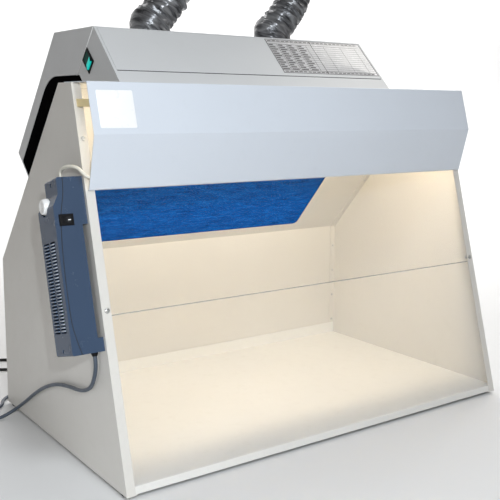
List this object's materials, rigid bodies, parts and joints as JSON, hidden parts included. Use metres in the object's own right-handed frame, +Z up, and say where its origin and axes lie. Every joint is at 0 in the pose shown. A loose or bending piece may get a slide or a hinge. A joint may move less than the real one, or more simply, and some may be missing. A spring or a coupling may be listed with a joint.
{
  "type": "fume extraction cabinet",
  "caption": "Bench-top fume extraction cabinet: open-front steel chamber, clear screen, visor lamp, blue filter and fan housing on a sloped back, exhaust hoses and lamp control box.",
  "frame": {"origin": "on the bench under the middle of the object's footprint, without its leads and hoses", "axes": "+X to the right of a user facing the open front, +Y away from the user, +Z up"},
  "size_m": [1.1354, 0.9499, 1.4281],
  "materials": {
    "panel_paint": "satin, light grey",
    "chamber_paint": "satin, off-white",
    "visor_paint": "satin, pale blue-grey",
    "housing_paint": "satin, pale grey",
    "screen_clear": "clear, polished",
    "zinc": "zinc plated",
    "spigot_metal": "satin",
    "foot_rubber": "matt",
    "lamp_white": "opal tube with metal caps",
    "white_plastic": "satin",
    "batten_white": "satin",
    "cassette_black": "matt",
    "carbon_black": "granular",
    "filter_blue": "fibre pad",
    "frame_metal": "satin",
    "fan_black": "satin",
    "motor_metal": "cast",
    "hose_film": "thin grey film over a spiral wire",
    "cuff_grey": "satin",
    "switch_black": "satin",
    "switch_teal": "translucent",
    "case_blue_grey": "fine textured",
    "board_green": "circuit board with parts",
    "cable_grey": "smooth",
    "cable_cream": "smooth",
    "cable_black": "smooth"
  },
  "bodies": {
    "cabinet": {"back_panel": "panel_paint", "base_tray": "chamber_paint", "carbon_core": "carbon_black", "clear_screen": "screen_clear", "control_box_base": "case_blue_grey", "control_box_cover": "case_blue_grey", "control_box_screws": "zinc", "dimmer_control": "motor_metal", "duct_spigot_left": "spigot_metal", "duct_spigot_right": "spigot_metal", "exhaust_hose_left": "hose_film", "exhaust_hose_right": "hose_film", "fan_motor_left": "motor_metal", "fan_motor_right": "motor_metal", "fan_shroud_left": "fan_black", "fan_shroud_right": "fan_black", "filter_cassette": "cassette_black", "floor_stiffeners": "panel_paint", "front_visor": "visor_paint", "hose_clamp_left": "zinc", "hose_clamp_right": "zinc", "hose_cuff_left": "cuff_grey", "hose_cuff_right": "cuff_grey", "housing_front_panel": "housing_paint", "housing_lower_box": "housing_paint", "housing_rear_cover": "housing_paint", "housing_screws": "zinc", "lamp_ballast": "board_green", "lamp_batten": "batten_white", "lamp_cable": "cable_cream", "lamp_holders": "white_plastic", "lamp_lead": "cable_grey", "lamp_lead_coil": "cable_grey", "lamp_lead_gland": "switch_black", "lamp_lead_plug": "cable_grey", "lamp_rocker_bezel": "switch_black", "lamp_tube": "lamp_white", "left_side_panel": "panel_paint", "mains_lead": "cable_black", "mains_lead_coil": "cable_black", "mains_lead_gland": "cable_black", "mains_lead_plug": "cable_black", "panel_rivets": "zinc", "power_rocker_bezel": "switch_black", "prefilter_frame": "frame_metal", "prefilter_pad": "filter_blue", "right_side_panel": "panel_paint", "rubber_feet": "foot_rubber", "screen_nuts": "zinc", "screen_screws": "zinc", "sloped_rear_panel": "panel_paint", "top_plate": "panel_paint", "visor_tabs": "zinc"},
    "power_rocker": {"power_rocker": "switch_teal"},
    "lamp_rocker": {"lamp_rocker": "switch_black"},
    "dimmer_knob": {"dimmer_knob": "white_plastic"},
    "fan_wheel_left": {"fan_impeller_left": "fan_black"},
    "fan_wheel_right": {"fan_impeller_right": "fan_black"}
  },
  "joints": [
    {"name": "power_rocker_tilt", "type": "hinge", "parent": "cabinet", "child": "power_rocker", "pos_m": [-0.33141, -0.01565, 0.78644], "axis": [0, 0.6721, -0.7405], "range_deg": [-12, 0]},
    {"name": "lamp_rocker_tilt", "type": "hinge", "parent": "cabinet", "child": "lamp_rocker", "pos_m": [-0.50755, -0.2807, 0.4902], "axis": [0, 0.2609, 0.9654], "range_deg": [0, 12]},
    {"name": "dimmer_turn", "type": "hinge", "parent": "cabinet", "child": "dimmer_knob", "pos_m": [-0.52025, -0.23084, 0.50935], "axis": [-1, 0, 0], "range_deg": [-150, 150]},
    {"name": "fan_left_spin", "type": "hinge", "parent": "cabinet", "child": "fan_wheel_left", "pos_m": [-0.14225, 0.07505, 0.79539], "axis": [0, 0, 1], "continuous": true},
    {"name": "fan_right_spin", "type": "hinge", "parent": "cabinet", "child": "fan_wheel_right", "pos_m": [0.20775, 0.07505, 0.79539], "axis": [0, 0, 1], "continuous": true}
  ]
}
